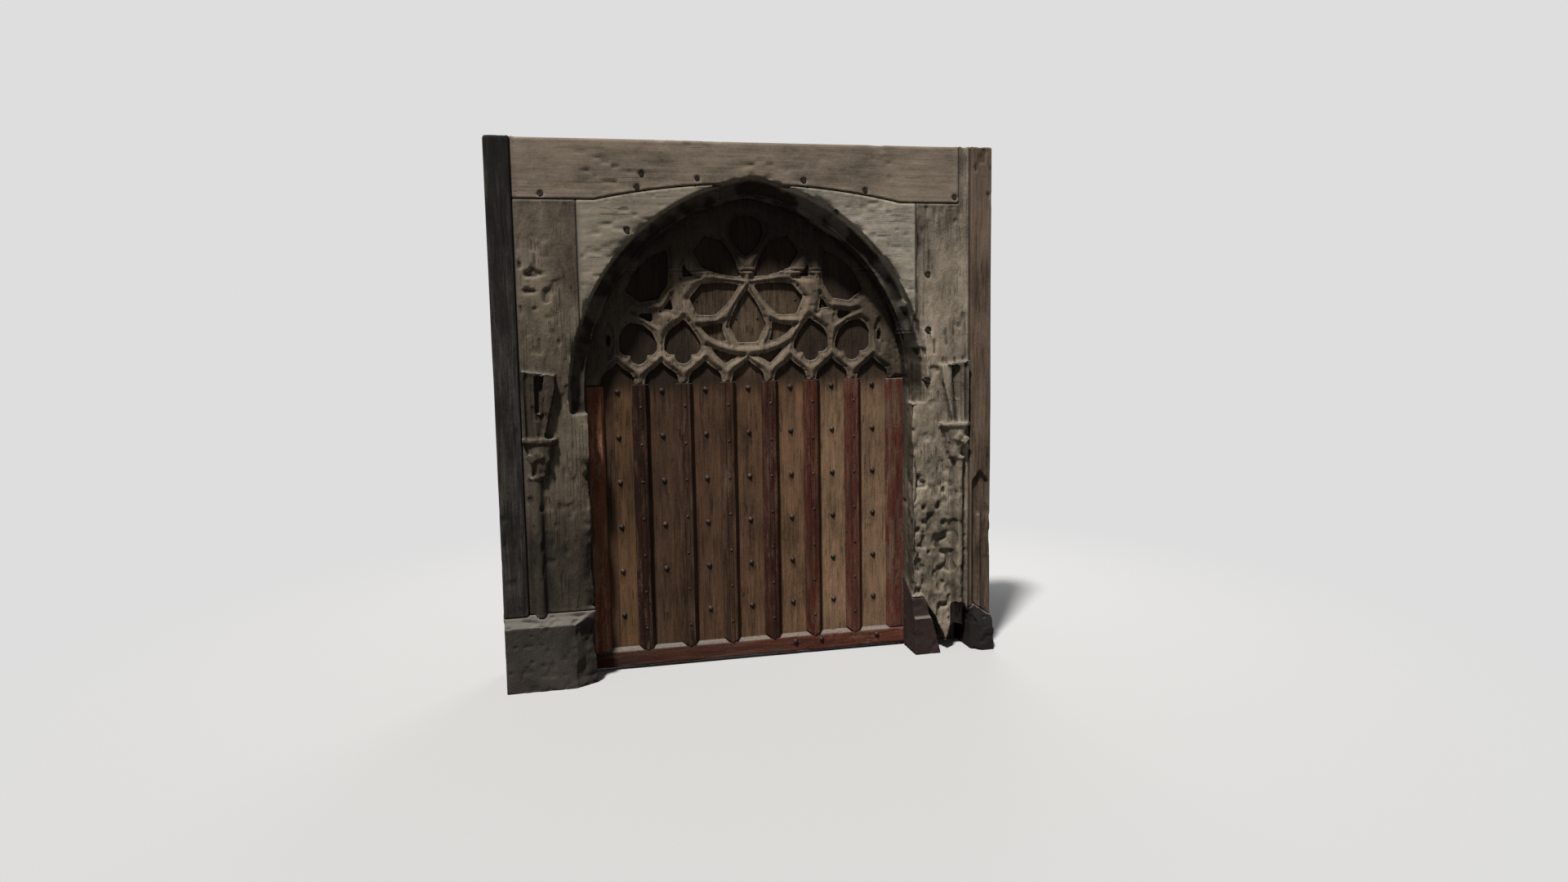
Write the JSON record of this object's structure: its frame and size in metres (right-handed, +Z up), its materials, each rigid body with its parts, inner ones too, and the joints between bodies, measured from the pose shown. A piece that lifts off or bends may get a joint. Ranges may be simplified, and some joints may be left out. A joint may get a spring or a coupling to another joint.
{
  "type": "pointed-arch timber doorway with boarded leaf",
  "caption": "Oak doorway with a pointed moulded arch, cambered lintel and stone plinths, and a boarded, ribbed leaf with blind tracery in its head.",
  "frame": {"origin": "on the floor plane, at the middle of the bounding box's bottom face; the leaf's middle line and the plinth stones' middle depth pass through it", "axes": "+X to the right as seen from the front, +Y through the doorway to the back, +Z up"},
  "size_m": [2.38, 0.34, 2.48],
  "materials": {
    "frame_oak": "weathered, limewashed grey-beige",
    "lintel_oak": "weathered brown with open grain",
    "peg_oak": "dark, dry end grain",
    "board_oak": "worn tan, old thin stain",
    "red_oak": "worn dark red paint on oak",
    "rail_oak": "worn red-brown paint on oak",
    "tracery_oak": "bare carved oak, pale and dusty",
    "ledge_oak": "plain sawn oak",
    "plinth_stone": "rough dressed grey stone",
    "wrought_iron": "dark forged iron"
  },
  "bodies": {
    "frame": {"left_jamb": "frame_oak", "right_jamb": "frame_oak", "left_post": "frame_oak", "right_post": "frame_oak", "lintel": "lintel_oak", "left_spandrel": "frame_oak", "right_spandrel": "frame_oak", "frame_pegs": "peg_oak", "left_plinth": "plinth_stone", "right_inner_plinth": "plinth_stone", "right_outer_plinth": "plinth_stone", "lower_pintle": "wrought_iron", "upper_pintle": "wrought_iron", "bolt_keeper": "wrought_iron"},
    "leaf": {"left_stile": "red_oak", "right_stile": "red_oak", "bottom_rail": "rail_oak", "tracery_lower": "tracery_oak", "tracery_upper": "tracery_oak", "lower_strap": "wrought_iron", "upper_strap": "wrought_iron", "strap_nails": "wrought_iron", "panel_studs": "wrought_iron", "rib_nails": "wrought_iron", "rail_nails": "wrought_iron", "tracery_nails": "wrought_iron", "bolt_staples": "wrought_iron", "pull_plate": "wrought_iron", "board_1": "board_oak", "board_2": "board_oak", "board_3": "board_oak", "board_4": "board_oak", "board_5": "board_oak", "board_6": "board_oak", "board_7": "board_oak", "board_8": "board_oak", "rib_1": "red_oak", "rib_2": "red_oak", "rib_3": "red_oak", "rib_4": "red_oak", "rib_5": "red_oak", "rib_6": "red_oak", "ledge_1": "ledge_oak", "ledge_2": "ledge_oak", "ledge_3": "ledge_oak", "ledge_4": "ledge_oak", "ledge_5": "ledge_oak", "ledge_6": "ledge_oak", "ledge_7": "ledge_oak"},
    "bolt": {"draw_bolt": "wrought_iron"},
    "ring": {"pull_ring": "wrought_iron"}
  },
  "joints": [
    {"name": "leaf_hinge", "type": "hinge", "parent": "frame", "child": "leaf", "pos_m": [-0.835, 0.139, 0], "axis": [0, 0, 1], "range_deg": [0, 100]},
    {"name": "bolt_slide", "type": "slide", "parent": "leaf", "child": "bolt", "axis": [1, 0, 0], "range_m": [0, 0.07]},
    {"name": "ring_swing", "type": "hinge", "parent": "leaf", "child": "ring", "pos_m": [0.56, 0.155, 0.9288], "axis": [1, 0, 0], "range_deg": [0, 100]}
  ]
}
